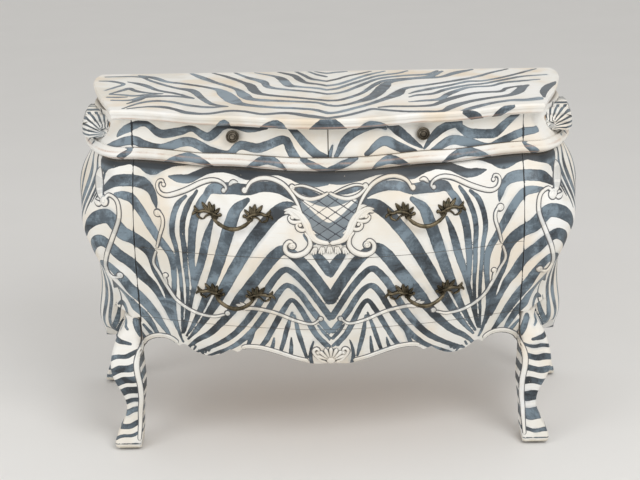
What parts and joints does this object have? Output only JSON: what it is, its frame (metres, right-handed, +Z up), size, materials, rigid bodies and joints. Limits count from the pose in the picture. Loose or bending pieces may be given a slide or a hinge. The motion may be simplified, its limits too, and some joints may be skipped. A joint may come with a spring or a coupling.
{
  "type": "bombe chest of drawers",
  "caption": "Bombe chest with swelling painted sides and front on cabriole legs, small frieze drawers above wide drawers, carved scrolls, a centre cartouche, knobs and rococo pulls.",
  "frame": {"origin": "middle of the chest's footprint box, on the floor", "axes": "+Z up, +X to the right of someone facing the drawers, -Y out of the front"},
  "size_m": [1.273, 0.5986, 0.87],
  "materials": {
    "painted_wood": "hand-painted cream with slate-blue stripes, satin",
    "bare_wood": "unfinished secondary wood",
    "antique_brass": "dark antique patina",
    "steel": "zinc plated screws",
    "glide": "dull glide pads"
  },
  "bodies": {
    "carcass": {"apron_edge_bands": "painted_wood", "apron_shell": "painted_wood", "back_panel": "bare_wood", "bottom_board": "bare_wood", "corner_scroll_left": "painted_wood", "corner_scroll_right": "painted_wood", "foot_glides": "glide", "frieze_divider": "bare_wood", "frieze_dust_board": "bare_wood", "front_apron": "painted_wood", "front_post_left": "painted_wood", "front_post_right": "painted_wood", "guide_wall_left": "bare_wood", "guide_wall_right": "bare_wood", "middle_dust_board": "bare_wood", "rear_post_left": "painted_wood", "rear_post_right": "painted_wood", "side_apron_left": "painted_wood", "side_apron_right": "painted_wood", "side_panel_left": "painted_wood", "side_panel_right": "painted_wood", "side_shell_left": "painted_wood", "side_shell_right": "painted_wood", "top_board": "painted_wood", "waist_moulding_front": "painted_wood", "waist_moulding_left": "painted_wood", "waist_moulding_right": "painted_wood"},
    "frieze_drawer_left": {"frieze_drawer_left_back": "bare_wood", "frieze_drawer_left_bottom": "bare_wood", "frieze_drawer_left_front": "painted_wood", "frieze_drawer_left_side_left": "bare_wood", "frieze_drawer_left_side_right": "bare_wood", "frieze_knob_left": "antique_brass"},
    "frieze_drawer_right": {"frieze_drawer_right_back": "bare_wood", "frieze_drawer_right_bottom": "bare_wood", "frieze_drawer_right_front": "painted_wood", "frieze_drawer_right_side_left": "bare_wood", "frieze_drawer_right_side_right": "bare_wood", "frieze_knob_right": "antique_brass"},
    "upper_drawer": {"upper_drawer_back": "bare_wood", "upper_drawer_bottom": "bare_wood", "upper_drawer_cartouche": "painted_wood", "upper_drawer_front": "painted_wood", "upper_drawer_pull_left": "antique_brass", "upper_drawer_pull_right": "antique_brass", "upper_drawer_pull_screws": "steel", "upper_drawer_scrolls": "painted_wood", "upper_drawer_side_left": "bare_wood", "upper_drawer_side_right": "bare_wood"},
    "lower_drawer": {"lower_drawer_back": "bare_wood", "lower_drawer_bottom": "bare_wood", "lower_drawer_front": "painted_wood", "lower_drawer_pull_left": "antique_brass", "lower_drawer_pull_right": "antique_brass", "lower_drawer_pull_screws": "steel", "lower_drawer_scrolls": "painted_wood", "lower_drawer_side_left": "bare_wood", "lower_drawer_side_right": "bare_wood"}
  },
  "joints": [
    {"name": "frieze_drawer_left_slide", "type": "slide", "parent": "carcass", "child": "frieze_drawer_left", "axis": [0, -1, 0], "range_m": [0, 0.28]},
    {"name": "frieze_drawer_right_slide", "type": "slide", "parent": "carcass", "child": "frieze_drawer_right", "axis": [0, -1, 0], "range_m": [0, 0.28]},
    {"name": "upper_drawer_slide", "type": "slide", "parent": "carcass", "child": "upper_drawer", "axis": [0, -1, 0], "range_m": [0, 0.3]},
    {"name": "lower_drawer_slide", "type": "slide", "parent": "carcass", "child": "lower_drawer", "axis": [0, -1, 0], "range_m": [0, 0.3]}
  ]
}
